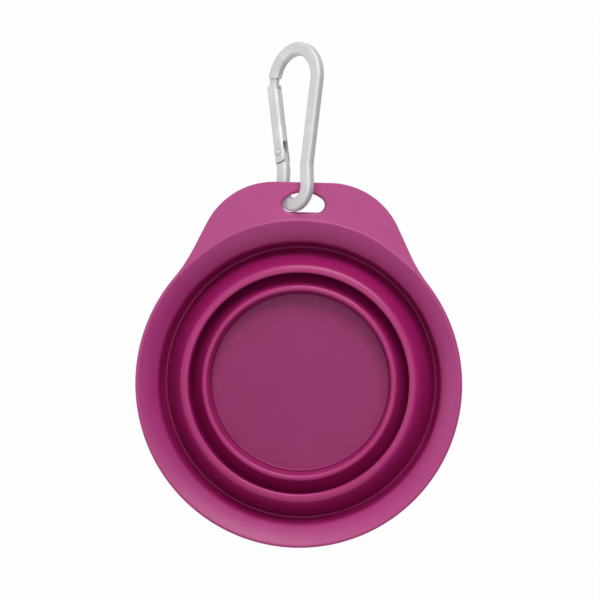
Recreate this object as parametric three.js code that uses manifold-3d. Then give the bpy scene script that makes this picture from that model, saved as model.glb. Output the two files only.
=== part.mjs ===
// A collapsible travel bowl, folded flat, with a hang tab and a snap hook through the tab's slot.
// Millimetres and degrees. The bowl stands on its base at z = 0, its axis is Z, its tab points to +Y.
import * as THREE from 'three';
import { mergeVertices } from 'three/addons/utils/BufferGeometryUtils.js';
import loadManifold from 'manifold-3d';

const wasm = await loadManifold();
wasm.setup();

// Gaps between pieces
const seatGap = 0.3; // pieces that sit against each other
const pinGap = 0.25; // the gate around its rivet and its plunger
const floorGap = 0.2; // lowest point of the hook above the surface the bowl stands on

// Rim with its flange and tab
const rimRadius = 65;
const rimTop = 17;
const rimLip = 2.2; // level edge outside the flange's slope
const tabRoot = 2; // how far the tab reaches into that edge
const flangeWidth = 8.3; // rim edge to the flange's inner edge
const flangeDrop = 6;
const edgeRound = 0.8;
const tabThickness = 2.4;
const tabLength = 15; // tab's far edge beyond the rim
const tabFlat = 22; // straight stretch of the far edge
const tabShoulder = 30; // radius of the tab's corners
const tabLean = 26; // flanks against the tab's axis
const tabFillet = 60; // radius where the flanks run into the rim
const stripWidth = 3.8; // bridge between the slot and the far edge
const slotWidth = 18;
const slotCorner = 3;

// Soft folding wall
const overmould = 1.5; // width of soft lip on the flange's inner edge
const ledgeWidth = 3; // soft ledge under the flange
const ledgeThickness = 1.3;
const collarRun = 3.2;
const collarThickness = 1.6;
const collarFoot = 5; // height of the collar's inner corner
const webThickness = 1;
const upperWebRun = 7.5;
const upperWebFoot = 4; // height of the web's outer end, top side
const middleRingThickness = 1.7;
const middleRingTop = 13.5;
const middleRingBottom = 0.8;
const lowerWebRun = 4.9;
const lowerWebFoot = 2.6;
const baseRingThickness = 2;
const baseRingTop = 10;
const ridgeRound = 0.6;
const ridgeStep = 0.5; // webs end this far below the ridge that carries them
const baseDraft = 0.9; // lean of the base ring's inner face

// Base
const plateThickness = 2.5;
const footThickness = 1.3;
const footWidth = 3.8;

// Snap hook
const barAcross = 5; // bar in the plane of the hook
const barThick = 4.2; // bar across its flattened faces
const barRound = 1.4;
const hookLength = 68;
const hookRadius = 12.6; // centre line of the wide end
const waistPinch = 0.35; // legs drawn in above the eye
const waistRise = 0.7;
const waistRound = 10;
const eyeGap = 0.3; // bridge of the tab inside the eye
const slotGap = 1.4; // eye beside the slot's end
const hookYaw = 43; // hook turned about its long axis
const hookLean = 1.8; // long axis against the tab's axis

// Gate
const gateAcross = 5.2;
const gateThick = 4.6;
const rivetRise = 7.3; // waist to rivet along the leg
const gateHeel = 4.2; // rivet to the gate's lower end
const gateReach = 1.8; // gate's top above the start of the bend
const noseNeck = 3.4; // length of thin nose showing above the gate
const noseDepth = 1.6; // thin nose inside the gate
const noseThick = 2.2;
const noseAcross = 3.9;
const forkGap = 0.6; // below the nose in the gate's fork
const tongueThick = 1.8;
const tongueAcross = 3.2;
const shoulderGap = 0.6; // gate's heel to the bar
const endLap = 1.25; // tongue and nose inside the bar
const windowRise = 4.2; // rivet to the top of the gate's slot
const rivetRadius = 0.75;
const rivetHeadRadius = 1.33;
const rivetHead = 0.45;
const rivetCrown = 1; // flat top of the rivet's head
const rivetEdge = 0.22; // height of the head's straight edge
const plungerRadius = 0.95;
const plungerLength = 4;
const wireDiameter = 0.4;
const springDiameter = 1.7; // centre line of the coil
const springTurns = 10;
const springLength = 10.4;

// Fineness of the facets
const roundSegments = 72;
const arcSegments = 10;
const cornerSegments = 3;
const barSteps = 56;
const pinSegments = 16;
const wireSides = 5;
const stepsPerTurn = 8;
const endSteps = 2; // along each straight end of the spring
const weldTolerance = 1e-4; // points nearer than this are one point

const degree = Math.PI / 180;
const yaw = hookYaw * degree;

// Materials
function finish(color, roughness, metalness) {
  return new THREE.MeshStandardMaterial({ color, roughness, metalness });
}

const stiffPlastic = () => finish(0xa84a80, 0.5, 0);
const softPlastic = () => finish(0x94305f, 0.45, 0);
const aluminium = () => finish(0xd2d2d4, 0.35, 1);
const steel = () => finish(0x8f8a86, 0.3, 1);

// Solids

function toSolid(geometry) {
  const bare = geometry.clone();
  bare.deleteAttribute('normal');
  bare.deleteAttribute('uv');
  const merged = mergeVertices(bare, weldTolerance);
  const vertProperties = new Float32Array(merged.attributes.position.array);
  const corners = merged.index.array;
  const kept = [];
  for (let i = 0; i < corners.length; i += 3) {
    const [a, b, c] = corners.slice(i, i + 3);
    if (a !== b && b !== c && c !== a) kept.push(a, b, c);
  }
  const triVerts = new Uint32Array(kept);
  return new wasm.Manifold(new wasm.Mesh({ numProp: 3, vertProperties, triVerts }));
}

function toGeometry(solid) {
  const mesh = solid.getMesh();
  const geometry = new THREE.BufferGeometry();
  geometry.setAttribute('position', new THREE.BufferAttribute(mesh.vertProperties, 3));
  geometry.setIndex(new THREE.BufferAttribute(mesh.triVerts, 1));
  geometry.computeVertexNormals();
  return geometry;
}

// A ring turned about Z from a counter-clockwise profile of [radius, height] corners
function turned(corners, closed = true) {
  const points = corners.map(([radius, height]) => new THREE.Vector2(radius, height));
  if (closed) points.push(points[0].clone());
  return new THREE.LatheGeometry(points, roundSegments).rotateX(Math.PI / 2);
}

// An outline's points, without the doubles where two of its arcs meet
function distinctPoints(path) {
  const points = path.getPoints(arcSegments);
  return points.filter((point, i) => point.distanceTo(points.at(i - 1)) > weldTolerance);
}

function roundedRectangle(width, height, radius) {
  const shape = new THREE.Shape();
  const x = width / 2 - radius;
  const y = height / 2 - radius;
  shape.absarc(x, y, radius, 0, 90 * degree);
  shape.absarc(-x, y, radius, 90 * degree, 180 * degree);
  shape.absarc(-x, -y, radius, 180 * degree, 270 * degree);
  shape.absarc(x, -y, radius, 270 * degree, 360 * degree);
  return shape;
}

// A box from its lowest to its highest corner
function block(low, high) {
  const size = high.map((value, axis) => value - low[axis]);
  const middle = high.map((value, axis) => (value + low[axis]) / 2);
  return new THREE.BoxGeometry(...size).translate(...middle);
}

// A pin along Z, or along Y when it lies in the gate
function pin(radius, low, high, alongY = false) {
  const geometry = new THREE.CylinderGeometry(radius, radius, high - low, pinSegments);
  geometry.translate(0, (low + high) / 2, 0);
  return alongY ? geometry : geometry.rotateX(Math.PI / 2);
}

// Rim: dished flange and tab in one stiff moulding
const dishRadius = rimRadius - flangeWidth;
const slopeRadius = rimRadius - rimLip;
const stiffRadius = dishRadius + overmould;
const tabTop = rimRadius + tabLength;
const stripMiddle = tabTop - stripWidth / 2;
const stripHeight = rimTop - tabThickness / 2;

function flangeHeight(radius) {
  return rimTop - (flangeDrop * (slopeRadius - radius)) / (slopeRadius - dishRadius);
}

function flangeProfile() {
  const innerTop = flangeHeight(stiffRadius);
  const rimBottom = rimTop - tabThickness;
  return [
    [stiffRadius, innerTop - tabThickness],
    [slopeRadius, rimBottom],
    [rimRadius - edgeRound, rimBottom],
    [rimRadius, rimBottom + edgeRound],
    [rimRadius, rimTop - edgeRound],
    [rimRadius - edgeRound, rimTop],
    [slopeRadius, rimTop],
    [stiffRadius, innerTop],
  ];
}

// Eye of the hook: wide enough for the tab's bridge at every swing of the yawed bar
const bridgeReach = Math.hypot(stripWidth / 2 - edgeRound, tabThickness / 2 - edgeRound) + edgeRound;
const barReach = (barThick / 2 - barRound) / Math.tan(yaw) + barRound * (1 / Math.sin(yaw) - 1);
const eyeBore = bridgeReach / Math.sin(yaw) + barReach + eyeGap;
const eyeRadius = eyeBore + barAcross / 2;
const eyeSide = tabThickness / 2 / Math.tan(yaw) + barThick / 2 / Math.sin(yaw);
const hookX = -(slotWidth / 2 - slotGap - eyeSide);

function tabOutline() {
  const shoulderX = tabFlat / 2;
  const shoulderY = tabTop - tabShoulder;
  const lean = tabLean * degree;
  // The fillet's centre lies its radius outside the flank, and outside the rim by the same radius
  const outward = new THREE.Vector2(Math.cos(lean), Math.sin(lean));
  const downward = new THREE.Vector2(Math.sin(lean), -Math.cos(lean));
  const flank = new THREE.Vector2(shoulderX, shoulderY).addScaledVector(outward, tabShoulder + tabFillet);
  const reach = rimRadius + tabFillet;
  const along = flank.dot(downward);
  const slide = -along - Math.sqrt(along * along - flank.lengthSq() + reach * reach);
  const fillet = flank.clone().addScaledVector(downward, slide);
  const meet = Math.atan2(fillet.y, fillet.x);
  const shape = new THREE.Shape();
  shape.absarc(fillet.x, fillet.y, tabFillet, meet + Math.PI, lean + Math.PI, true);
  shape.absarc(shoulderX, shoulderY, tabShoulder, lean, 90 * degree);
  shape.absarc(-shoulderX, shoulderY, tabShoulder, 90 * degree, 180 * degree - lean);
  shape.absarc(-fillet.x, fillet.y, tabFillet, -lean, -meet, true);
  shape.absarc(0, 0, rimRadius - tabRoot, Math.PI - meet, meet, true);
  return shape;
}

function slotOutline() {
  const top = tabTop - stripWidth;
  const bottom = stripMiddle - eyeRadius - barAcross / 2 - seatGap;
  const cornerX = slotWidth / 2 - slotCorner;
  const cornerY = bottom + slotCorner;
  const sag = cornerY - top;
  const dome = (cornerX ** 2 + sag ** 2 - slotCorner ** 2) / (-2 * (sag + slotCorner));
  const domeY = top - dome;
  const turn = Math.atan2(cornerY - domeY, cornerX);
  const path = new THREE.Path();
  path.absarc(-cornerX, cornerY, slotCorner, Math.PI - turn, 270 * degree);
  path.absarc(cornerX, cornerY, slotCorner, -90 * degree, turn);
  path.absarc(0, domeY, dome, turn, Math.PI - turn);
  return path;
}

function rimFrame() {
  const outline = new THREE.Shape(distinctPoints(tabOutline()));
  outline.holes.push(new THREE.Path(distinctPoints(slotOutline())));
  const tab = new THREE.ExtrudeGeometry(outline, {
    depth: tabThickness - 2 * edgeRound,
    bevelThickness: edgeRound,
    bevelSize: edgeRound,
    bevelOffset: -edgeRound,
    bevelSegments: 1,
  });
  tab.translate(0, 0, rimTop - tabThickness + edgeRound);
  return toGeometry(toSolid(turned(flangeProfile())).add(toSolid(tab)));
}

// Folding wall, from the rim inwards: collar, web, ring, web, ring
const collarRadius = dishRadius - collarRun;
const upperWebOuter = collarRadius - seatGap;
const upperWebInner = upperWebOuter - upperWebRun;
const middleOuter = upperWebInner - seatGap;
const middleInner = middleOuter - middleRingThickness;
const lowerWebOuter = middleInner - seatGap;
const lowerWebInner = lowerWebOuter - lowerWebRun;
const baseOuter = lowerWebInner - seatGap;
const baseInner = baseOuter - baseRingThickness;
const wellRadius = baseInner - baseDraft;

function webDepth(run, rise) {
  return (webThickness * Math.hypot(run, rise)) / run;
}

function rimCollar() {
  const lipOuter = stiffRadius - seatGap;
  const ledgeOuter = lipOuter + ledgeWidth;
  const ledgeDrop = tabThickness + seatGap;
  const upperWebRise = middleRingTop - ridgeStep - upperWebFoot;
  const bottom = upperWebFoot - webDepth(upperWebRun, upperWebRise);
  return turned([
    [collarRadius, bottom],
    [collarRadius + collarThickness, bottom],
    [collarRadius + collarThickness, collarFoot],
    [dishRadius, flangeHeight(dishRadius) - ledgeDrop - ledgeThickness],
    [ledgeOuter, flangeHeight(ledgeOuter) - ledgeDrop - ledgeThickness],
    [ledgeOuter, flangeHeight(ledgeOuter) - ledgeDrop],
    [lipOuter, flangeHeight(lipOuter) - ledgeDrop],
    [lipOuter, flangeHeight(lipOuter)],
    [dishRadius, flangeHeight(dishRadius)],
    [collarRadius, collarFoot],
  ]);
}

// A conical web, low at its outer end and high at its inner end
function web(outer, foot, inner, head) {
  const depth = webDepth(outer - inner, head - foot);
  return turned([
    [inner, head - depth],
    [outer, foot - depth],
    [outer, foot],
    [inner, head],
  ]);
}

function middleRing() {
  return turned([
    [middleInner, middleRingBottom],
    [middleOuter, middleRingBottom],
    [middleOuter, middleRingTop - ridgeRound],
    [middleOuter - ridgeRound, middleRingTop],
    [middleInner + ridgeRound, middleRingTop],
    [middleInner, middleRingTop - ridgeRound],
  ]);
}

// Base: soft ring with its foot, and the stiff plate that drops into it
function baseRing() {
  const footInner = wellRadius - footWidth;
  return turned([
    [footInner, 0],
    [baseOuter - ridgeRound, 0],
    [baseOuter, ridgeRound],
    [baseOuter, baseRingTop - ridgeRound],
    [baseOuter - ridgeRound, baseRingTop],
    [baseInner + ridgeRound, baseRingTop],
    [baseInner, baseRingTop - ridgeRound],
    [wellRadius, plateThickness],
    [wellRadius, footThickness],
    [footInner, footThickness],
  ]);
}

function basePlate() {
  const bossRadius = wellRadius - footWidth - seatGap;
  const rimBottom = footThickness + seatGap;
  return turned([
    [0, 0],
    [bossRadius, 0],
    [bossRadius, rimBottom],
    [wellRadius - seatGap, rimBottom],
    [wellRadius - seatGap, plateThickness],
    [0, plateThickness],
  ], false);
}

// Hook: origin at the eye's centre, +Y along the hook, +X to the closed leg, +Z out of its plane
const waistHalf = eyeRadius - waistPinch;
const waistHeight = eyeRadius + waistRise;

// A leg runs from the waist to touch a round end, and leans against the hook's axis to do so
function tangentLean(radius, away) {
  return Math.asin(radius / Math.hypot(waistHalf, away)) - Math.atan2(waistHalf, away);
}

const bendHeight = hookLength - barAcross - eyeRadius - hookRadius;
const bendAbove = bendHeight - waistHeight;
const legLean = tangentLean(hookRadius, bendAbove);
const eyeLean = tangentLean(eyeRadius, waistHeight);
const legLength = Math.sqrt(waistHalf ** 2 + bendAbove ** 2 - hookRadius ** 2);
const gateTop = legLength - rivetRise + gateReach;
const noseEnd = gateTop + noseNeck;
const rivetX = -(waistHalf + rivetRise * Math.sin(legLean));
const rivetY = waistHeight + rivetRise * Math.cos(legLean);

// The bar's centre line, from the gate's heel round the eye, up the closed leg and over to the nose
function hookRoute() {
  const half = (Math.PI - legLean - eyeLean) / 2;
  const bisector = (eyeLean - legLean) / 2;
  const roundX = waistHalf + (waistRound / Math.sin(half)) * Math.cos(bisector);
  const roundY = waistHeight + (waistRound / Math.sin(half)) * Math.sin(bisector);
  const heel = gateHeel + shoulderGap;
  const startX = rivetX + heel * Math.sin(legLean);
  const startY = rivetY - heel * Math.cos(legLean);
  const noseTurn = (noseEnd + rivetRise - legLength) / hookRadius;
  const route = new THREE.Path();
  route.moveTo(startX, startY);
  route.lineTo(waistRound * Math.cos(legLean) - roundX, roundY + waistRound * Math.sin(legLean));
  route.absarc(-roundX, roundY, waistRound, legLean, -eyeLean, true);
  route.absarc(0, 0, eyeRadius, Math.PI - eyeLean, 2 * Math.PI + eyeLean);
  route.absarc(roundX, roundY, waistRound, Math.PI + eyeLean, Math.PI - legLean, true);
  route.absarc(0, bendHeight, hookRadius, -legLean, Math.PI + legLean - noseTurn);
  return route;
}

// A flat curve lifted into the hook's plane
class HookCurve extends THREE.Curve {
  constructor(route) {
    super();
    this.route = route;
  }

  getPoint(share, target = new THREE.Vector3()) {
    const point = this.route.getPointAt(share);
    return target.set(point.x, point.y, 0);
  }
}

// From the gate's own frame, at the rivet with +Y up the gate, to the hook's frame
const gateFrame = new THREE.Matrix4().makeRotationZ(legLean).setPosition(rivetX, rivetY, 0);

function tongue() {
  const half = tongueAcross / 2;
  const shape = new THREE.Shape();
  shape.moveTo(-half, -gateHeel - shoulderGap - endLap);
  shape.lineTo(half, -gateHeel - shoulderGap - endLap);
  shape.lineTo(half, half);
  shape.absarc(0, 0, half, 90 * degree, 180 * degree);
  const options = { depth: tongueThick, bevelEnabled: false, curveSegments: arcSegments };
  return new THREE.ExtrudeGeometry(shape, options).translate(0, 0, -tongueThick / 2);
}

// The nose lies along the bend, with its middle on the bar's centre line
function nose() {
  const half = noseAcross / 2;
  const thick = noseThick / 2;
  const reach = (noseNeck + noseDepth) / 2;
  const turn = Math.PI + legLean - (gateReach + noseNeck - reach) / hookRadius;
  const piece = block([-half, -reach, -thick], [half, reach + endLap, thick]);
  return piece.translate(-hookRadius, 0, 0).rotateZ(turn - Math.PI).translate(0, bendHeight, 0);
}

function hookBody() {
  const section = roundedRectangle(barThick, barAcross, barRound);
  const bar = new THREE.ExtrudeGeometry(section, {
    steps: barSteps,
    curveSegments: cornerSegments,
    extrudePath: new HookCurve(hookRoute()),
  });
  const hole = pin(rivetRadius + pinGap, -barThick, barThick).applyMatrix4(gateFrame);
  const heel = toSolid(tongue().applyMatrix4(gateFrame));
  return toGeometry(toSolid(bar).add(heel).add(toSolid(nose())).subtract(toSolid(hole)));
}

// Gate and what is in it: origin at the rivet, +Y up the gate, +X into the hook
const plungerFoot = tongueAcross / 2 + seatGap;
const plungerTop = plungerFoot + plungerLength;
const springFoot = plungerTop + seatGap;
const boreRadius = plungerRadius + pinGap;
const boreTop = springFoot + springLength + seatGap;

function gateSide() {
  const half = gateAcross / 2;
  const shape = new THREE.Shape();
  shape.moveTo(-half, gateTop);
  shape.lineTo(-half, -gateHeel);
  shape.absarc(0, half - gateHeel, half, -90 * degree, 0);
  shape.lineTo(half, gateTop);
  const options = { depth: gateThick, bevelEnabled: false, curveSegments: arcSegments };
  return new THREE.ExtrudeGeometry(shape, options).translate(0, 0, -gateThick / 2);
}

function gate() {
  const length = gateTop + gateHeel;
  const section = roundedRectangle(gateAcross, gateThick, barRound);
  const options = { depth: length, bevelEnabled: false, curveSegments: cornerSegments };
  const bar = new THREE.ExtrudeGeometry(section, options);
  bar.rotateX(-Math.PI / 2).translate(0, -gateHeel, 0);
  const slotHalf = tongueThick / 2 + seatGap;
  const wall = -tongueAcross / 2 - seatGap;
  const lowSlot = block([wall, -gateHeel - gateAcross, -slotHalf], [gateAcross, windowRise, slotHalf]);
  const forkHalf = noseThick / 2 + seatGap;
  const forkFoot = gateTop - noseDepth - forkGap;
  const fork = block([-gateAcross, forkFoot, -forkHalf], [gateAcross, gateTop + gateAcross, forkHalf]);
  const bore = pin(boreRadius, 0, boreTop, true);
  const hole = pin(rivetRadius + pinGap, -gateThick, gateThick);
  let solid = toSolid(bar).intersect(toSolid(gateSide()));
  for (const cut of [lowSlot, fork, bore, hole]) solid = solid.subtract(toSolid(cut));
  return toGeometry(solid);
}

function rivet() {
  const face = gateThick / 2 + pinGap;
  const points = [
    [0, -face - rivetHead],
    [rivetCrown, -face - rivetHead],
    [rivetHeadRadius, -face - rivetEdge],
    [rivetHeadRadius, -face],
    [rivetRadius, -face],
    [rivetRadius, face],
    [rivetHeadRadius, face],
    [rivetHeadRadius, face + rivetEdge],
    [rivetCrown, face + rivetHead],
    [0, face + rivetHead],
  ].map(([radius, height]) => new THREE.Vector2(radius, height));
  return new THREE.LatheGeometry(points, pinSegments).rotateX(Math.PI / 2);
}

// The spring's wire: a straight end up from its seat, the curls, and a straight end to the bore's top
class SpringCurve extends THREE.Curve {
  getPoint(share, target = new THREE.Vector3()) {
    const radius = springDiameter / 2;
    const climb = springLength - 2 * wireDiameter;
    const curled = springTurns * Math.hypot(Math.PI * springDiameter, climb / springTurns);
    const travelled = share * (curled + 2 * wireDiameter);
    const turn = THREE.MathUtils.clamp((travelled - wireDiameter) / curled, 0, 1);
    const start = Math.min(travelled, wireDiameter);
    const end = Math.max(travelled - wireDiameter - curled, 0);
    const angle = turn * springTurns * 2 * Math.PI;
    return target.set(radius * Math.cos(angle), start + turn * climb + end, radius * Math.sin(angle));
  }
}

function spring() {
  const section = new THREE.Shape();
  section.absarc(0, 0, wireDiameter / 2, 0, 2 * Math.PI);
  const wire = new THREE.Shape(section.getSpacedPoints(wireSides).slice(0, wireSides));
  const steps = springTurns * stepsPerTurn + 2 * endSteps;
  const geometry = new THREE.ExtrudeGeometry(wire, { steps, extrudePath: new SpringCurve() });
  return geometry.translate(0, springFoot, 0);
}

function leastSpringGap() {
  const steps = springTurns * stepsPerTurn;
  const points = new SpringCurve().getSpacedPoints(steps);
  let least = Infinity;
  for (let i = 0; i < steps; i += 1) {
    for (let j = i + stepsPerTurn / 2; j <= steps; j += 1) {
      least = Math.min(least, points[i].distanceTo(points[j]) - wireDiameter);
    }
  }
  return least;
}

// The assembly

const bowl = new THREE.Group();

// The hook lies through the slot, tipped down until its wide end is just clear of the ground
const edgeDrop = (barAcross / 2 - barRound) * Math.sin(yaw);
const faceDrop = (barThick / 2 - barRound) * Math.cos(yaw);
const barDrop = edgeDrop + faceDrop + barRound;
const tip = (stripHeight - hookRadius * Math.sin(yaw) - barDrop - floorGap) / bendHeight;
const hook = new THREE.Group();
hook.position.set(hookX, stripMiddle, stripHeight);
hook.rotation.set(-Math.asin(tip), -yaw, hookLean * degree, 'ZXY');
bowl.add(hook);

const gateGroup = new THREE.Group();
gateGroup.position.set(rivetX, rivetY, 0);
gateGroup.rotation.z = legLean;
hook.add(gateGroup);

function place(group, name, geometry, material) {
  const mesh = new THREE.Mesh(geometry, material);
  mesh.name = name;
  group.add(mesh);
}

const ridgeHead = middleRingTop - ridgeStep;
const baseHead = baseRingTop - ridgeStep;
place(bowl, 'rim_frame', rimFrame(), stiffPlastic());
place(bowl, 'rim_collar', rimCollar(), softPlastic());
place(bowl, 'upper_web', web(upperWebOuter, upperWebFoot, upperWebInner, ridgeHead), softPlastic());
place(bowl, 'middle_ring', middleRing(), softPlastic());
place(bowl, 'lower_web', web(lowerWebOuter, lowerWebFoot, lowerWebInner, baseHead), softPlastic());
place(bowl, 'base_ring', baseRing(), softPlastic());
place(bowl, 'base_plate', basePlate(), stiffPlastic());
place(hook, 'carabiner_body', hookBody(), aluminium());
place(gateGroup, 'carabiner_gate', gate(), aluminium());
place(gateGroup, 'gate_rivet', rivet(), aluminium());
place(gateGroup, 'gate_spring', spring(), steel());
place(gateGroup, 'gate_plunger', pin(plungerRadius, plungerFoot, plungerTop, true), steel());

console.log(`gate_spring: least gap between curls ${leastSpringGap().toFixed(2)} mm`);

export default bowl;
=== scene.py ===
import math

import bmesh
import bpy
from mathutils import Matrix, Vector


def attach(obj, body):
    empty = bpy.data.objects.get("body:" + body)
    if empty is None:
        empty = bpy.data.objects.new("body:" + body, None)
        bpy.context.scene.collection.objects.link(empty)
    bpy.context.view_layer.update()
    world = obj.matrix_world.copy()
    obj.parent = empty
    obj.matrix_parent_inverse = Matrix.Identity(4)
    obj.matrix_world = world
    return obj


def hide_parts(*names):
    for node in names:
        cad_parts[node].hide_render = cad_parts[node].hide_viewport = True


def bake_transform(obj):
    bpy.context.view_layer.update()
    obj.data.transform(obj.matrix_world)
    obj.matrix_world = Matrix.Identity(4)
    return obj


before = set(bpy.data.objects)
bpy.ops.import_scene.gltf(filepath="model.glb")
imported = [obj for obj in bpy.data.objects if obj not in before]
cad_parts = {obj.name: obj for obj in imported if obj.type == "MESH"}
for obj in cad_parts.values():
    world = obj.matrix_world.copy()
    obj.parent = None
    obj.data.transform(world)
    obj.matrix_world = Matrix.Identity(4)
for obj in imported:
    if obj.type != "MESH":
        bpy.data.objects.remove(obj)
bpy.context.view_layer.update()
scene = bpy.context.scene
scene.view_settings.view_transform = "Standard"
mm = 0.001  # sizes below are in millimetres
print("frame loaded with", len(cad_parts), "nodes")


# Shader maths
class Shade:
    # one socket of a material; sums on it add Math nodes
    def __init__(self, tree, socket=None):
        self.tree = tree
        self.socket = socket

    def node(self, kind, settings=None, sockets=None, out=0):
        made = self.tree.nodes.new("ShaderNode" + kind)
        for key, value in (settings or {}).items():
            setattr(made, key, value)
        for key, value in (sockets or {}).items():
            if isinstance(value, Shade):
                self.tree.links.new(value.socket, made.inputs[key])
            else:
                made.inputs[key].default_value = value
        return Shade(self.tree, made.outputs[out]) if made.outputs else None

    def maths(self, operation, first, second):
        return self.node("Math", {"operation": operation}, {0: first, 1: second})

    def __add__(self, other):
        return self.maths("ADD", self, other)

    def __radd__(self, other):
        return self.maths("ADD", other, self)

    def __sub__(self, other):
        return self.maths("SUBTRACT", self, other)

    def __rsub__(self, other):
        return self.maths("SUBTRACT", other, self)

    def __mul__(self, other):
        return self.maths("MULTIPLY", self, other)

    def __rmul__(self, other):
        return self.maths("MULTIPLY", other, self)

    def between(self, low, high):
        # 0 at low, 1 at high, smooth and held outside
        settings = {"interpolation_type": "SMOOTHSTEP"}
        return self.node("MapRange", settings, {"Value": self, "From Min": low, "From Max": high})

    def tint(self, first, second):
        # this value blends two colours
        return self.node("Mix", {"data_type": "RGBA"}, {0: self, 6: first, 7: second}, out=2)


def newMaterial(name):
    material = bpy.data.materials.new(name)
    material.use_nodes = True
    material.node_tree.nodes.clear()
    return material, Shade(material.node_tree)


def noise(start, place, scale, detail=2.0, stretch=None):
    if stretch:
        place = start.node("Mapping", {}, {"Vector": place, "Scale": stretch})
    return start.node("TexNoise", {}, {"Vector": place, "Scale": scale, "Detail": detail})


# Moulded plastics
stiffLook = {
    "colour": (0.385, 0.0205, 0.175, 1), "pale": (0.398, 0.0235, 0.184, 1),
    "roughness": 0.53, "spread": 0.10, "grain": 1700, "grainDepth": 0.035 * mm, "grainStrength": 0.45,
    "specular": 0.75,
    "clouds": 70, "cloudEdges": (0.35, 0.65),
    "rubbed": 260, "rubbedStretch": (1, 0.35, 1), "rubbedEdges": (0.52, 0.75),
}
# the plate's colour is the rim's plastic darkened, as painted shade at the bottom of the bowl
platePaintedShadeLook = dict(stiffLook, colour=(0.265, 0.0145, 0.1165, 1), pale=(0.275, 0.0165, 0.123, 1),
                 roughness=0.5, specular=0.34)
# the webs' and collar's colour is darkened below the ridges', as painted shade in the folds
softLook = dict(stiffLook, **{
    "colour": (0.325, 0.0098, 0.121, 1), "pale": (0.335, 0.0115, 0.128, 1),
    "roughness": 0.36, "spread": 0.08, "grain": 900, "grainDepth": 0.02 * mm, "grainStrength": 0.12,
    "specular": 0.40,
})
# the ridges are thicker than the webs; they are the same soft plastic painted paler, as painted light on the
# crests
ridgePaintedLightLook = dict(softLook, colour=(0.388, 0.0145, 0.150, 1), pale=(0.400, 0.017, 0.158, 1))


def mouldedPlastic(name, look):
    material, start = newMaterial(name)
    place = start.node("TexCoord", out="Object")
    clouds = noise(start, place, look["clouds"], detail=3.0).between(*look["cloudEdges"])  # flow of the melt
    grain = noise(start, place, look["grain"])
    rubbed = noise(start, place, look["rubbed"], detail=4.0, stretch=look["rubbedStretch"])
    rubbed = rubbed.between(*look["rubbedEdges"])
    bump = start.node("Bump", {}, {
        "Strength": look["grainStrength"], "Distance": look["grainDepth"], "Height": grain,
    })
    surface = start.node("BsdfPrincipled", {}, {
        "Base Color": clouds.tint(look["colour"], look["pale"]),
        "Roughness": look["roughness"] + look["spread"] * (grain - 0.5) - 0.5 * look["spread"] * rubbed,
        "Normal": bump,
        "Specular IOR Level": look["specular"],
    })
    start.node("OutputMaterial", {}, {"Surface": surface})
    return material


# Metals
hookLook = {
    "colour": (0.575, 0.575, 0.58, 1), "worn": (0.62, 0.62, 0.62, 1),
    "roughness": 0.74, "grain": 2400, "drawn": 700, "depth": 0.02 * mm, "metallic": 0.85,
    "drawnStretch": (1, 0.06, 1), "drawnShare": 0.6, "grainShare": 0.4, "bump": 0.25,
    "wear": 160, "wearEdges": (0.5, 0.72), "grainSpread": 0.12, "wearShine": 0.05,
}
pinLook = dict(hookLook, **{
    "colour": (0.20, 0.185, 0.17, 1), "worn": (0.30, 0.28, 0.26, 1),
    "roughness": 0.30, "grain": 3000, "drawn": 900, "depth": 0.01 * mm, "metallic": 1.0,
})


def satinMetal(name, look):
    material, start = newMaterial(name)
    place = start.node("TexCoord", out="Object")
    drawn = noise(start, place, look["drawn"], detail=3.0, stretch=look["drawnStretch"])
    fine = noise(start, place, look["grain"])
    wear = noise(start, place, look["wear"], detail=4.0).between(*look["wearEdges"])
    bump = start.node("Bump", {}, {
        "Strength": look["bump"], "Distance": look["depth"],
        "Height": look["drawnShare"] * drawn + look["grainShare"] * fine,
    })
    surface = start.node("BsdfPrincipled", {}, {
        "Base Color": wear.tint(look["colour"], look["worn"]),
        "Roughness": look["roughness"] + look["grainSpread"] * (fine - 0.5) - look["wearShine"] * wear,
        "Normal": bump,
        "Metallic": look["metallic"],
    })
    start.node("OutputMaterial", {}, {"Surface": surface})
    return material


stiffPlastic = mouldedPlastic("stiffPlastic", stiffLook)
platePaintedShadePlastic = mouldedPlastic("platePaintedShadePlastic", platePaintedShadeLook)
softPlastic = mouldedPlastic("softPlastic", softLook)
ridgePaintedLightPlastic = mouldedPlastic("ridgePaintedLightPlastic", ridgePaintedLightLook)
hookAluminium = satinMetal("hookAluminium", hookLook)
pinSteel = satinMetal("pinSteel", pinLook)
print("materials made")


# Making pieces
meshing = {
    "mergeGap": 1e-7, "levelGap": 1e-6, "flatGap": 1e-9, "sharpAngle": math.radians(38),
    "cornerSteps": 6, "barSteps": 7, "easeSteps": 3, "pinSteps": 40,
}


def makePiece(name, bm, material, slotName, *nodes):
    bmesh.ops.remove_doubles(bm, verts=bm.verts[:], dist=meshing["mergeGap"])
    bmesh.ops.recalc_face_normals(bm, faces=bm.faces[:])
    for face in bm.faces:
        face.smooth = True
    for edge in bm.edges:
        if edge.is_manifold and edge.calc_face_angle() > meshing["sharpAngle"]:
            edge.smooth = False
    mesh = bpy.data.meshes.new(name)
    bm.to_mesh(mesh)
    bm.free()
    mesh.materials.append(material)
    piece = bpy.data.objects.new(name, mesh)
    scene.collection.objects.link(piece)
    shading = piece.modifiers.new("evenShading", "WEIGHTED_NORMAL")
    shading.keep_sharp = True
    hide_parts(*nodes)
    print(name, len(mesh.polygons), "faces")
    return piece


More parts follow.
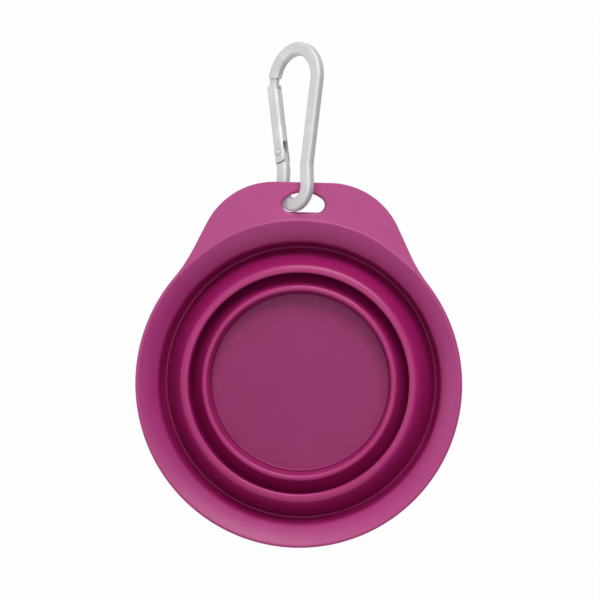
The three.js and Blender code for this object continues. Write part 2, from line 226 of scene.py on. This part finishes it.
def drawSection(bm, corners, closed=True, cell=1.2):
    # corners are radius, height and how much of the corner is rounded off
    verts = [bm.verts.new((radius * mm, 0, height * mm)) for radius, height, cut in corners]
    following = verts[1:] + verts[:1] if closed else verts[1:]
    for first, second in zip(verts, following):
        bm.edges.new((first, second))
    for vert, (radius, height, cut) in zip(verts, corners):
        if cut:
            bmesh.ops.bevel(bm, geom=[vert], offset=cut * mm, offset_type="OFFSET",
                            segments=meshing["cornerSteps"], profile=0.5,
                            affect="VERTICES", material=-1, clamp_overlap=False)
    for edge in bm.edges[:]:
        cuts = int(edge.calc_length() / (cell * mm))
        if cuts:
            bmesh.ops.subdivide_edges(bm, edges=[edge], cuts=cuts)


def spinSection(bm, steps=180):
    bmesh.ops.spin(bm, geom=bm.verts[:] + bm.edges[:], cent=(0, 0, 0), axis=(0, 0, 1),
                   angle=2 * math.pi, steps=steps, use_merge=True)
    return bm


# Rim: dished flange and hang tab in one stiff moulding
rim = {
    "radius": 65, "top": 17, "thickness": 2.4, "edge": 0.3, "crease": 64.55, "tabCrease": 65.35,
    "bead": 0.22, "beadWidth": 0.70, "beadSlope": 0.32,
    "dishRadius": 56.75, "dishDrop": 6, "belly": 0.5,
    "dishShares": (0.12, 0.24, 0.36, 0.5, 0.64, 0.76, 0.88), "footIn": 0.1, "underIn": 1.2, "underFlat": 0.6,
    "widenFrom": 0.80, "widenOver": 0.14,
    "tabEnd": 80, "tabFlat": 22, "shoulder": 30, "lean": 26, "fillet": 60,
    "slotWidth": 16.9, "slotShift": 0.3, "slotTop": 76.0, "slotBottom": 68.21, "slotCorner": 3,
    "slotLip": 1.15, "lipFlat": 0.05, "lipSteps": 6,
    "ringSteps": 170, "filletSteps": 18, "shoulderSteps": 26, "slotSteps": 18, "domeSteps": 24,
    "pointGap": 1e-3,
}


def arc(x, y, radius, start, end, count):
    turns = [start + (end - start) * i / count for i in range(count + 1)]
    return [Vector((x + radius * math.cos(a), y + radius * math.sin(a), 0)) for a in turns]


def openRun(points):
    return [p for i, p in enumerate(points) if (p - points[i - 1]).length > rim["pointGap"]]


def rimOutline():
    lean = math.radians(rim["lean"])
    x = rim["tabFlat"] / 2
    y = rim["tabEnd"] - rim["shoulder"]
    outward = Vector((math.cos(lean), math.sin(lean), 0))
    downward = Vector((math.sin(lean), -math.cos(lean), 0))
    flank = Vector((x, y, 0)) + outward * (rim["shoulder"] + rim["fillet"])
    along = flank.dot(downward)
    reach = rim["radius"] + rim["fillet"]
    fillet = flank - downward * (along + math.sqrt(along ** 2 - flank.length_squared + reach ** 2))
    meet = math.atan2(fillet.y, fillet.x)
    return openRun(
        arc(0, 0, rim["radius"], math.pi - meet, 2 * math.pi + meet, rim["ringSteps"])
        + arc(fillet.x, fillet.y, rim["fillet"], meet + math.pi, lean + math.pi, rim["filletSteps"])
        + arc(x, y, rim["shoulder"], lean, math.pi / 2, rim["shoulderSteps"])
        + arc(-x, y, rim["shoulder"], math.pi / 2, math.pi - lean, rim["shoulderSteps"])
        + arc(-fillet.x, fillet.y, rim["fillet"], -lean, -meet, rim["filletSteps"]))


def slotOutline():
    x, shift = rim["slotWidth"] / 2 - rim["slotCorner"], rim["slotShift"]
    y = rim["slotBottom"] + rim["slotCorner"]
    sag = y - rim["slotTop"]
    dome = (x ** 2 + sag ** 2 - rim["slotCorner"] ** 2) / (-2 * (sag + rim["slotCorner"]))
    turn = math.atan2(y - rim["slotTop"] + dome, x)
    return openRun(
        arc(shift - x, y, rim["slotCorner"], math.pi - turn, 1.5 * math.pi, rim["slotSteps"])
        + arc(shift + x, y, rim["slotCorner"], -math.pi / 2, turn, rim["slotSteps"])
        + arc(shift, rim["slotTop"] - dome, dome, turn, math.pi - turn, rim["domeSteps"]))


def edgeBand(bm, outline, cut, inward):
    # a rounded edge round an outline: one ring of edges, extruded row by row from top to underside
    top, bottom = rim["top"], rim["top"] - rim["thickness"]
    quarter = [math.pi / 2 * i / rim["lipSteps"] for i in range(rim["lipSteps"] + 1)]
    flat = cut + rim["lipFlat"]
    rows = [(flat, top)]
    rows += [(cut - cut * math.sin(a), top - cut + cut * math.cos(a)) for a in quarter]
    rows += [(cut - cut * math.cos(a), bottom + cut - cut * math.sin(a)) for a in quarter]
    rows += [(flat, bottom)]
    spot = bm.verts.layers.int.get("spot") or bm.verts.layers.int.new("spot")
    ring = []
    for i, point in enumerate(outline):
        vert = bm.verts.new(point)
        vert[spot] = i
        ring.append(vert)
    edges = [bm.edges.new((ring[i - 1], ring[i])) for i in range(len(ring))]
    sides = []
    for i, point in enumerate(outline):
        along = (outline[(i + 1) % len(outline)] - outline[i - 1]).normalized()
        sides.append(Vector((-along.y, along.x, 0)) * inward)
    for row, (inset, height) in enumerate(rows):
        if row:
            made = bmesh.ops.extrude_edge_only(bm, edges=edges)["geom"]
            ring = [item for item in made if isinstance(item, bmesh.types.BMVert)]
            edges = [item for item in made if isinstance(item, bmesh.types.BMEdge)
                     and item.verts[0] in ring and item.verts[1] in ring]
        for vert in ring:
            vert.co = (outline[vert[spot]] + sides[vert[spot]] * inset + Vector((0, 0, height))) * mm


def rimMoulding():
    top, thick = rim["top"], rim["thickness"]
    bm = bmesh.new()
    foot = top - rim["dishDrop"]
    inner = rim["crease"] - rim["beadWidth"]
    slope = Vector((rim["dishRadius"] - inner, foot - top - rim["bead"]))
    bulge = Vector((slope.y, -slope.x)).normalized() * rim["belly"]
    dish = []
    for share in rim["dishShares"]:
        spot = Vector((inner, top + rim["bead"])) + slope * share + bulge * 4 * share * (1 - share)
        dish.append((spot.x, spot.y, 0))
    drawSection(bm, [
        (rim["crease"], top, 0),
        (rim["crease"] - rim["beadSlope"], top + rim["bead"], 0.15),
        (inner, top + rim["bead"], 0.2),
        *dish,
        (rim["dishRadius"], foot, 0.7),
        (rim["dishRadius"] + rim["footIn"], foot - thick, 0.3),
        (rim["crease"] - rim["underIn"], top - thick, 0.5),
        (rim["crease"] - rim["underFlat"], top - thick, 0),
    ], closed=False)
    spinSection(bm)
    # the crease runs a little wider where the tab carries it
    for vert in bm.verts:
        radius = math.hypot(vert.co.x, vert.co.y) / mm
        side = max(0, min(1, (vert.co.y / mm / radius - rim["widenFrom"]) / rim["widenOver"]))
        near = max(0, (radius - rim["dishRadius"]) / (rim["crease"] - rim["dishRadius"]))
        if side and near:
            grow = 1 + (rim["tabCrease"] / rim["crease"] - 1) * near * side * side * (3 - 2 * side)
            vert.co.x, vert.co.y = vert.co.x * grow, vert.co.y * grow
    edgeBand(bm, rimOutline(), rim["edge"], 1)
    edgeBand(bm, slotOutline(), rim["slotLip"], -1)
    bmesh.ops.remove_doubles(bm, verts=bm.verts[:], dist=meshing["mergeGap"])
    for height in (top, top - thick):
        loops = [edge for edge in bm.edges if edge.is_boundary
                 and all(abs(vert.co.z - height * mm) < meshing["levelGap"] for vert in edge.verts)]
        bmesh.ops.triangle_fill(bm, edges=loops, use_beauty=True, use_dissolve=False, normal=(0, 0, 1))
    return makePiece("rimMoulding", bm, stiffPlastic, "stiff_plastic", "rim_frame")


# Folding wall: soft collar, two webs and the ridges that they end on
wall = {
    "collar": [
        (56.72, 9.6, 0.1), (56.5, 8.4, 0.5), (56.25, 6.4, 0.6), (56.0, 4.0, 0.6), (55.3, 1.2, 0.3),
        (54.95, 1.2, 0.1), (54.75, 1.95, 0.14), (54.5, 1.75, 0.1), (54.3, 0.2, 0.05),
        (56.3, 0.2, 0.2), (56.9, 4.4, 0.6), (57.3, 7.6, 0.6), (60.8, 11.1, 0.4), (60.9, 12.3, 0.3),
        (57.4, 9.0, 0.1), (57.2, 9.6, 0.1),
    ],
    "upperWeb": [
        (54.6, 0.3, 0), (53.85, 1.2, 0.2), (52.8, 3.4, 0.8), (51.7, 5.9, 1.0), (50.6, 8.3, 1.0),
        (49.4, 10.4, 0.9), (48.2, 11.95, 0.7), (47.4, 12.72, 0), (46.7, 11.9, 0.1), (48.5, 9.8, 1.0),
        (50.9, 5.5, 1.0), (52.8, 0.9, 0.3), (53.6, 0.1, 0.1), (54.5, 0.1, 0),
    ],
    "ridge": [
        (47.4, 12.72, 0), (46.7, 13.3, 0.8), (44.5, 13.5, 0.6), (44.05, 12.6, 0.5), (45.2, 9.0, 0.5),
        (45.7, 0.15, 0.1), (46.3, 0.15, 0.2), (46.35, 9.0, 0.3), (46.65, 11.2, 0.1),
    ],
    "lowerWeb": [
        (45.95, 0.3, 0), (45.3, 0.45, 0.1), (44.35, 1.5, 0.3), (43.2, 3.4, 0.6), (42.0, 5.3, 0.8),
        (40.95, 7.0, 0.6), (40.0, 8.55, 0.3), (39.4, 9.35, 0), (38.7, 8.7, 0.1), (40.0, 5.7, 0.8),
        (41.5, 2.6, 0.6), (42.6, 0.5, 0.2), (43.3, 0.1, 0.1), (45.9, 0.1, 0),
    ],
    "baseRing": [
        (39.4, 9.35, 0), (38.9, 9.88, 0.5), (37.5, 10.0, 0.5), (36.95, 9.4, 0.4), (36.24, 2.7, 0.1),
        (36.22, 1.3, 0.1), (31.5, 1.3, 0.1), (31.5, 0, 0.2), (37.9, 0, 0.5), (38.4, 0.7, 0.4),
        (38.6, 6.2, 0.3), (38.75, 8.1, 0.1),
    ],
}


def wallPiece(name, section, material, *nodes):
    bm = bmesh.new()
    drawSection(bm, section, cell=0.6)
    return makePiece(name, spinSection(bm), material, "soft_plastic", *nodes)


# Base: stiff plate dropped into the soft ring
plate = {
    "radius": 36.2, "top": 2.5, "lip": 1.6, "boss": 31.2,
    "bead": 0.16, "beadFrom": 0.8, "beadCrest": 0.5, "beadEnd": 0.2, "edgeDrop": 0.1,
}


def basePlate():
    bm = bmesh.new()
    radius, top = plate["radius"], plate["top"]
    drawSection(bm, [
        (0, top, 0), (radius - plate["beadFrom"], top, 0.1),
        (radius - plate["beadCrest"], top + plate["bead"], 0.12),
        (radius - plate["beadEnd"], top + plate["bead"], 0.1), (radius, top - plate["edgeDrop"], 0.05),
        (radius, plate["lip"], 0.1), (plate["boss"], plate["lip"], 0.2),
        (plate["boss"], 0, 0.3), (0, 0, 0),
    ], closed=False, cell=3)
    return makePiece("basePlate", spinSection(bm), platePaintedShadePlastic, "stiff_plastic", "base_plate")


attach(rimMoulding(), "rim")
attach(wallPiece("softCollar", wall["collar"], softPlastic, "rim_collar"), "rim")
upperWebPiece = wallPiece("upperWeb", wall["upperWeb"], softPlastic, "upper_web")
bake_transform(upperWebPiece)
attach(wallPiece("middleRidge", wall["ridge"], ridgePaintedLightPlastic, "middle_ring"), "middle")
lowerWebPiece = wallPiece("lowerWeb", wall["lowerWeb"], softPlastic, "lower_web")
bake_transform(lowerWebPiece)
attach(wallPiece("baseRidge", wall["baseRing"], ridgePaintedLightPlastic, "base_ring"), "base")
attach(basePlate(), "base")
print("bowl made")


# Snap hook, in its own plane: eye at the origin, +Y up the hook, +X to the closed leg
hook = {
    "place": (-3.234, 78.1, 15.8), "lean": 1.8, "tip": -5.758, "yaw": -43,
    "across": 5.4, "thick": 3.7, "round": 1.3, "length": 68.4, "bend": 12.6, "eye": 7.092,
    "waistPinch": 0.35, "waistRise": 0.7, "waistBend": 4.0, "bulge": 0.3, "bulgeReach": 1.6,
    "waistSteps": 6, "eyeSteps": 48, "legSteps": 12, "bendSteps": 56,
}
gate = {
    "across": 5.5, "thick": 4.1, "round": 1.25, "rivetRise": 7.3, "heel": 4.2, "reach": 1.8,
    "shoulderGap": 0.6, "neck": 3.4, "noseDepth": 1.6, "noseThick": 2.2, "noseAcross": 3.9, "noseEase": 0.3,
    "tongueThick": 1.8, "tongueAcross": 3.2, "tongueHeel": 2.6, "tongueStep": 0.9, "tongueEase": 0.12,
    "forkGap": 0.6, "window": 4.2, "play": 0.3, "heelRound": 1.6,
    "root": 1.2,  # how far a welded piece goes into the bar
    "past": 2, "spare": 1,  # how far cutters and the side's outline go past the gate
}
pins = {
    "rivet": 0.75, "head": 1.33, "headHeight": 0.45, "crown": 0.95, "crownEdge": 0.3, "headPlay": 0.03,
    "seatDepth": 0.35, "plunger": 0.95, "plungerLength": 4.0, "tip": 0.6, "taper": 0.4,
    "wire": 0.4, "coil": 1.7, "turns": 10, "springLength": 10.4, "turnSteps": 24,
    "bodyPlay": 0.05, "gatePlay": 0.1, "borePlay": 0.2, "seatPlay": 0.16, "boreDepth": 18,
    "bodyHole": 3, "gateHole": 4,
}

waistX = hook["eye"] - hook["waistPinch"]
waistY = hook["eye"] + hook["waistRise"]
bendY = hook["length"] - hook["across"] - hook["eye"] - hook["bend"]


def tangentLean(radius, away):
    return math.asin(radius / math.hypot(waistX, away)) - math.atan2(waistX, away)


legLean = tangentLean(hook["bend"], bendY - waistY)
eyeLean = tangentLean(hook["eye"], waistY)
legLength = math.sqrt(waistX ** 2 + (bendY - waistY) ** 2 - hook["bend"] ** 2)
gateTop = legLength - gate["rivetRise"] + gate["reach"]
noseEnd = gateTop + gate["neck"]
rivetX = -(waistX + gate["rivetRise"] * math.sin(legLean))
rivetY = waistY + gate["rivetRise"] * math.cos(legLean)

hookPlace = (
    Matrix.Translation(Vector(hook["place"]) * mm)
    @ Matrix.Rotation(math.radians(hook["lean"]), 4, "Z")
    @ Matrix.Rotation(math.radians(hook["tip"]), 4, "X")
    @ Matrix.Rotation(math.radians(hook["yaw"]), 4, "Y")
)
atRivet = Matrix.Translation(Vector((rivetX, rivetY, 0)) * mm)
gatePlace = hookPlace @ atRivet @ Matrix.Rotation(legLean, 4, "Z")


def sectionRing(bm, across, thick, cut, place):
    # rounded rectangle of edges, across along X and thick along Y, then moved to its place
    x, y = across / 2 * mm, thick / 2 * mm
    verts = [bm.verts.new(spot) for spot in ((-x, -y, 0), (x, -y, 0), (x, y, 0), (-x, y, 0))]
    for i in range(4):
        bm.edges.new((verts[i - 1], verts[i]))
    bmesh.ops.bevel(bm, geom=verts, offset=cut * mm, offset_type="OFFSET",
                    segments=meshing["barSteps"], profile=0.5,
                    affect="VERTICES", material=-1, clamp_overlap=False)
    bmesh.ops.transform(bm, matrix=place, verts=bm.verts[:])
    return bm.verts[:] + bm.edges[:]


def runStraight(bm, geom, move):
    edges = [item for item in geom if isinstance(item, bmesh.types.BMEdge)]
    made = bmesh.ops.extrude_edge_only(bm, edges=edges)["geom"]
    verts = [item for item in made if isinstance(item, bmesh.types.BMVert)]
    bmesh.ops.translate(bm, verts=verts, vec=move)
    return verts + [item for item in made if isinstance(item, bmesh.types.BMEdge)
                    and item.verts[0] in verts and item.verts[1] in verts]


def runBend(bm, geom, x, y, angle, steps):
    made = bmesh.ops.spin(bm, geom=geom, cent=(x * mm, y * mm, 0), axis=(0, 0, 1), angle=angle, steps=steps)
    return made["geom_last"]


def fillEnds(bm):
    bmesh.ops.holes_fill(bm, edges=[edge for edge in bm.edges if edge.is_boundary], sides=0)


def bentBar():
    # bent as in the shop: from the gate's heel round the eye, up the closed leg and over to the nose
    bm = bmesh.new()
    half = (math.pi - legLean - eyeLean) / 2
    bisector = (eyeLean - legLean) / 2
    bend = hook["waistBend"]
    roundX = waistX + bend / math.sin(half) * math.cos(bisector)
    roundY = waistY + bend / math.sin(half) * math.sin(bisector)
    heel = gate["heel"] + gate["shoulderGap"]
    startX = rivetX + heel * math.sin(legLean)
    startY = rivetY - heel * math.cos(legLean)
    down = Vector((math.sin(legLean), -math.cos(legLean), 0))
    frameStart = Matrix((
        (math.cos(legLean), 0, down.x, startX * mm),
        (math.sin(legLean), 0, down.y, startY * mm),
        (0, 1, 0, 0),
        (0, 0, 0, 1),
    ))
    ring = sectionRing(bm, hook["across"], hook["thick"], hook["round"], frameStart)
    bendFrom = Vector((-roundX + bend * math.cos(legLean), roundY + bend * math.sin(legLean), 0))
    ring = runStraight(bm, ring, (bendFrom - Vector((startX, startY, 0))) * mm)
    ring = runBend(bm, ring, -roundX, roundY, -(legLean + eyeLean), hook["waistSteps"])
    eyeFrom = Vector((-math.cos(eyeLean), math.sin(eyeLean), 0)) * hook["eye"]
    waistTo = Vector((-roundX + bend * math.cos(eyeLean), roundY - bend * math.sin(eyeLean), 0))
    ring = runStraight(bm, ring, (eyeFrom - waistTo) * mm)
    ring = runBend(bm, ring, 0, 0, math.pi + 2 * eyeLean, hook["eyeSteps"])
    ring = runStraight(bm, ring, Vector((eyeFrom.x - waistTo.x, waistTo.y - eyeFrom.y, 0)) * mm)
    ring = runBend(bm, ring, roundX, roundY, -(legLean + eyeLean), hook["waistSteps"])
    legFrom = Vector((-bendFrom.x, bendFrom.y, 0))
    legTo = Vector((hook["bend"] * math.cos(legLean), bendY - hook["bend"] * math.sin(legLean), 0))
    for step in range(hook["legSteps"]):
        ring = runStraight(bm, ring, (legTo - legFrom) / hook["legSteps"] * mm)
    noseTurn = (noseEnd + gate["rivetRise"] - legLength) / hook["bend"]
    runBend(bm, ring, 0, bendY, math.pi + 2 * legLean - noseTurn, hook["bendSteps"])
    fillEnds(bm)
    # the metal swells a little where it is creased at the waist
    waists = [Vector((side * waistX, waistY, 0)) * mm for side in (-1, 1)]
    for vert in bm.verts:
        away = min((waist - Vector((vert.co.x, vert.co.y, 0))).length for waist in waists)
        swell = hook["bulge"] * mm * math.exp(-(away / (hook["bulgeReach"] * mm)) ** 2)
        vert.co.z += math.copysign(swell, vert.co.z)
    return bm


def profileBlock(outline, thick, cut):
    # a flat outline given thickness along Z, with eased edges
    bm = bmesh.new()
    verts = [bm.verts.new((x * mm, y * mm, -thick / 2 * mm)) for x, y in outline]
    made = bmesh.ops.extrude_face_region(bm, geom=[bm.faces.new(verts)], use_keep_orig=True)["geom"]
    raised = [item for item in made if isinstance(item, bmesh.types.BMVert)]
    bmesh.ops.translate(bm, verts=raised, vec=(0, 0, thick * mm))
    bmesh.ops.recalc_face_normals(bm, faces=bm.faces[:])
    if cut:
        rims = [edge for edge in bm.edges
                if abs(edge.verts[0].co.z - edge.verts[1].co.z) < meshing["flatGap"]]
        bmesh.ops.bevel(bm, geom=rims, offset=cut * mm, offset_type="OFFSET",
                        segments=meshing["easeSteps"], profile=0.5,
                        affect="EDGES", material=-1, clamp_overlap=True)
    return bm


def looseObject(bm):
    bmesh.ops.recalc_face_normals(bm, faces=bm.faces[:])
    mesh = bpy.data.meshes.new("loose")
    bm.to_mesh(mesh)
    bm.free()
    made = bpy.data.objects.new("loose", mesh)
    scene.collection.objects.link(made)
    return made


def joinShapes(bm, steps):
    # welds shapes on or mills them off, and gives the result back as a bmesh
    body = looseObject(bm)
    tools = []
    for operation, shape in steps:
        tool = looseObject(shape)
        cut = body.modifiers.new("cut", "BOOLEAN")
        cut.operation = operation
        cut.solver = "EXACT"
        cut.object = tool
        tools.append(tool)
    bpy.context.view_layer.update()
    shaped = bpy.data.meshes.new_from_object(body.evaluated_get(bpy.context.evaluated_depsgraph_get()))
    result = bmesh.new()
    result.from_mesh(shaped)
    for item in [body] + tools:
        bpy.data.objects.remove(item)
    bpy.data.meshes.remove(shaped)
    return result


def arcXY(x, y, radius, start, end, count):
    return [(point.x, point.y) for point in arc(x, y, radius, math.radians(start), math.radians(end), count)]


def roundPin(radius, low, high, steps=32):
    # a pin along Z
    bm = bmesh.new()
    bmesh.ops.create_cone(bm, cap_ends=True, segments=steps, radius1=radius * mm, radius2=radius * mm,
                          depth=(high - low) * mm, matrix=Matrix.Translation((0, 0, (low + high) / 2 * mm)))
    return bm


def movedBy(bm, matrix):
    bmesh.ops.transform(bm, matrix=matrix, verts=bm.verts[:])
    return bm


gateInHook = hookPlace.inverted() @ gatePlace
alongGate = Matrix.Rotation(-math.pi / 2, 4, "X")  # turns a pin along Z to lie up the gate


def hookBody():
    low = -gate["heel"] - gate["shoulderGap"] - gate["root"]
    half = gate["tongueAcross"] / 2
    tongue = profileBlock(
        [(-half, low), (gate["tongueHeel"], low), (gate["tongueHeel"], -gate["tongueStep"])]
        + arcXY(0, 0, half, 10, 180, 14), gate["tongueThick"], gate["tongueEase"])
    across = gate["noseAcross"] / 2
    reach = (gate["neck"] + gate["noseDepth"]) / 2
    root = reach + gate["root"]
    nose = profileBlock(
        [(-across, -reach), (across, -reach), (across, root), (-across, root)],
        gate["noseThick"], gate["noseEase"])
    turn = legLean - (gate["reach"] + gate["neck"] - reach) / hook["bend"]
    alongBend = (Matrix.Translation((0, bendY * mm, 0)) @ Matrix.Rotation(turn, 4, "Z")
                 @ Matrix.Translation((-hook["bend"] * mm, 0, 0)))
    hole = roundPin(pins["rivet"] + pins["bodyPlay"], -pins["bodyHole"], pins["bodyHole"])
    shaped = joinShapes(bentBar(), [
        ("UNION", movedBy(tongue, gateInHook)),
        ("UNION", movedBy(nose, alongBend)),
        ("DIFFERENCE", movedBy(hole, gateInHook)),
    ])
    return makePiece("hookBar", movedBy(shaped, hookPlace), hookAluminium, "hook_aluminium", "carabiner_body")


def gateBar():
    half = gate["across"] / 2
    heel = -gate["heel"]
    past, spare = half + gate["past"], gate["spare"]
    bar = bmesh.new()
    ring = sectionRing(bar, gate["across"], gate["thick"], gate["round"],
                       Matrix.Translation((0, heel * mm, 0)) @ alongGate)
    runStraight(bar, ring, Vector((0, (gateTop - heel) * mm, 0)))
    fillEnds(bar)
    side = profileBlock(
        [(-half - spare, gateTop + spare), (-half - spare, heel)]
        + arcXY(half - gate["heelRound"], heel + gate["heelRound"], gate["heelRound"], -90, 0, 10)
        + [(half, gateTop + spare)], gate["thick"] + 2 * spare, 0)
    slotHalf = gate["tongueThick"] / 2 + gate["play"]
    wallX = -gate["tongueAcross"] / 2 - gate["play"]
    below = heel - gate["past"]
    window = profileBlock(
        [(wallX, below), (past, below), (past, gate["window"]), (wallX, gate["window"])], 2 * slotHalf, 0)
    forkHalf = gate["noseThick"] / 2 + gate["play"]
    forkFoot = gateTop - gate["noseDepth"] - gate["forkGap"]
    above = gateTop + gate["past"]
    fork = profileBlock([(-past, forkFoot), (past, forkFoot), (past, above), (-past, above)], 2 * forkHalf, 0)
    bore = movedBy(roundPin(pins["plunger"] + pins["borePlay"], 0, pins["boreDepth"]), alongGate)
    hole = roundPin(pins["rivet"] + pins["gatePlay"], -pins["gateHole"], pins["gateHole"])
    seat = gate["thick"] / 2 - pins["seatDepth"]
    lows = (seat, -seat - gate["past"])
    seats = [roundPin(pins["head"] + pins["seatPlay"], low, low + gate["past"]) for low in lows]
    # in this order no cut crosses the loose edges that an earlier one leaves, so each run gives one mesh
    cutters = seats + [hole, window, fork, bore]
    shaped = joinShapes(bar, [("INTERSECT", side)] + [("DIFFERENCE", cutter) for cutter in cutters])
    return makePiece("gateBar", movedBy(shaped, gatePlace), hookAluminium, "hook_aluminium", "carabiner_gate")


def spunPin(corners):
    bm = bmesh.new()
    drawSection(bm, corners, closed=False, cell=0.5)
    return spinSection(bm, meshing["pinSteps"])


def gateRivet():
    face = gate["thick"] / 2 - pins["seatDepth"] + pins["headPlay"]
    head = gate["thick"] / 2 + pins["headHeight"]
    crown, edge = pins["crown"], pins["crownEdge"]
    bm = spunPin([
        (0, -head, 0), (crown, -head, 0.35), (pins["head"], edge - head, 0.1), (pins["head"], -face, 0.05),
        (pins["rivet"], -face, 0.05), (pins["rivet"], face, 0.05), (pins["head"], face, 0.05),
        (pins["head"], head - edge, 0.1), (crown, head, 0.35), (0, head, 0),
    ])
    return makePiece("gateRivet", movedBy(bm, gatePlace), hookAluminium, "hook_aluminium", "gate_rivet")


plungerFoot = gate["tongueAcross"] / 2 + gate["play"]
springFoot = plungerFoot + pins["plungerLength"] + gate["play"]


def gatePlunger():
    top = plungerFoot + pins["plungerLength"]
    bm = spunPin([
        (0, plungerFoot, 0), (pins["tip"], plungerFoot, 0.2),
        (pins["plunger"], plungerFoot + pins["taper"], 0.2), (pins["plunger"], top, 0.15), (0, top, 0),
    ])
    return makePiece("gatePlunger", movedBy(bm, gatePlace @ alongGate), pinSteel, "pin_steel", "gate_plunger")


def gateSpring():
    bm = bmesh.new()
    foot = Matrix.Translation((pins["coil"] / 2 * mm, 0, (springFoot + pins["wire"] / 2) * mm))
    bmesh.ops.create_circle(bm, segments=10, radius=pins["wire"] / 2 * mm, cap_ends=False,
                            matrix=foot @ Matrix.Rotation(math.pi / 2, 4, "X"))
    steps = pins["turns"] * pins["turnSteps"]
    climb = (pins["springLength"] - pins["wire"]) / steps
    bmesh.ops.spin(bm, geom=bm.verts[:] + bm.edges[:], cent=(0, 0, 0), axis=(0, 0, 1),
                   dvec=(0, 0, climb * mm), angle=2 * math.pi * pins["turns"], steps=steps)
    fillEnds(bm)
    return makePiece("gateSpring", movedBy(bm, gatePlace @ alongGate), pinSteel, "pin_steel", "gate_spring")


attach(hookBody(), "carabiner")
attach(gateRivet(), "carabiner")
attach(gateBar(), "gate")
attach(gatePlunger(), "plunger")
springPiece = gateSpring()
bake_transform(springPiece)
print("snap hook made")


# Studio: white floor, soft lights, a dark card to the right and a camera over the bowl
studio = {
    "lights": {  # direction, size in metres and power
        "overLight": ((0.06, 0.22, 1.05), 1.8, 6.5),
        "topLight": ((0.05, 0.85, 0.80), 0.6, 5.4),
        "cornerLight": ((0.44, 0.72, 0.72), 0.30, 2.1),
        "leftLight": ((-1.05, 0.05, 0.27), 0.5, 1.3),
        "lowLight": ((0.10, -1.00, 0.45), 0.8, 0.5),
    },
    "middle": (0, 0.03, 0.01),
    "world": 0.17, "floorGlow": 0.98, "floorSize": 6.0, "floorDrop": 0.00005, "paper": 0.58,
    "card": {"place": (0.42, 0.10, 0.26), "length": 1.4, "height": 0.50, "grey": 0.03},
}
view = {
    "target": (0.07, 33.3, 17.0), "distance": 600, "slant": 4.0, "roll": 1.6, "span": 237.8,
    "sensor": 36, "near": 0.01, "far": 20,
}


def backdropRays(start):
    # 1 for rays that see the backdrop: straight from the camera, mirrored, or through something clear
    kinds = ("Is Camera Ray", "Is Glossy Ray", "Is Transmission Ray")
    direct, mirrored, through = [start.node("LightPath", out=kind) for kind in kinds]
    return start.maths("MAXIMUM", start.maths("MAXIMUM", direct, mirrored), through)


def whiteFloor():
    bm = bmesh.new()
    bmesh.ops.create_grid(bm, x_segments=1, y_segments=1, size=studio["floorSize"],
                          matrix=Matrix.Translation((0, 0, -studio["floorDrop"])))
    mesh = bpy.data.meshes.new("floor")
    bm.to_mesh(mesh)
    bm.free()
    material, start = newMaterial("whiteFloor")
    seen = backdropRays(start)
    paper = start.node("BsdfDiffuse", {}, {"Color": (studio["paper"],) * 3 + (1,)})
    glow = start.node("Emission", {}, {"Color": (1, 1, 1, 1), "Strength": 1.0})
    mixed = start.node("MixShader", {}, {0: studio["floorGlow"] * seen, 1: paper, 2: glow})
    start.node("OutputMaterial", {}, {"Surface": mixed})
    mesh.materials.append(material)
    floor = bpy.data.objects.new("floor", mesh)
    scene.collection.objects.link(floor)


def darkCard():
    # only reflections show it
    card = studio["card"]
    bm = bmesh.new()
    turned = Matrix.Translation(card["place"]) @ Matrix.Rotation(math.pi / 2, 4, "Y")
    bmesh.ops.create_grid(bm, x_segments=1, y_segments=1, size=0.5, matrix=(
        turned @ Matrix.Diagonal((card["height"], card["length"], 1, 1))))
    mesh = bpy.data.meshes.new("darkCard")
    bm.to_mesh(mesh)
    bm.free()
    material, start = newMaterial("darkCard")
    felt = start.node("BsdfDiffuse", {}, {"Color": (card["grey"],) * 3 + (1,)})
    start.node("OutputMaterial", {}, {"Surface": felt})
    mesh.materials.append(material)
    made = bpy.data.objects.new("darkCard", mesh)
    scene.collection.objects.link(made)
    made.visible_camera = made.visible_shadow = made.visible_diffuse = False


def softLight(name, direction, size, power):
    lamp = bpy.data.lights.new(name, "AREA")
    lamp.shape = "DISK"
    lamp.size = size
    lamp.energy = power
    light = bpy.data.objects.new(name, lamp)
    light.location = Vector(studio["middle"]) + Vector(direction)
    light.rotation_euler = (-Vector(direction)).to_track_quat("-Z", "Y").to_euler()
    scene.collection.objects.link(light)


def whiteWorld():
    world = bpy.data.worlds.new("studioWorld")
    scene.world = world
    world.use_nodes = True
    world.node_tree.nodes.clear()
    start = Shade(world.node_tree)
    strength = studio["world"] + (1 - studio["world"]) * backdropRays(start)
    glow = start.node("Background", {}, {"Color": (1, 1, 1, 1), "Strength": strength})
    start.node("OutputWorld", {}, {"Surface": glow})


def overheadCamera():
    slant, roll = math.radians(view["slant"]), math.radians(view["roll"])
    back = Vector((math.sin(slant), 0, math.cos(slant)))
    up = Vector((0, 1, 0))
    right = up.cross(back)
    up, right = (up * math.cos(roll) - right * math.sin(roll),
                 right * math.cos(roll) + up * math.sin(roll))
    place = (Vector(view["target"]) + back * view["distance"]) * mm
    camera = bpy.data.objects.new("camera", bpy.data.cameras.new("camera"))
    camera.data.sensor_width = view["sensor"]
    camera.data.lens = view["sensor"] * view["distance"] / view["span"]
    camera.data.clip_start, camera.data.clip_end = view["near"], view["far"]
    camera.matrix_world = Matrix((
        (right.x, up.x, back.x, place.x),
        (right.y, up.y, back.y, place.y),
        (right.z, up.z, back.z, place.z),
        (0, 0, 0, 1),
    ))
    scene.collection.objects.link(camera)
    scene.camera = camera


whiteFloor()
darkCard()
for name, (direction, size, power) in studio["lights"].items():
    softLight(name, direction, size, power)
whiteWorld()
overheadCamera()
print("studio made")
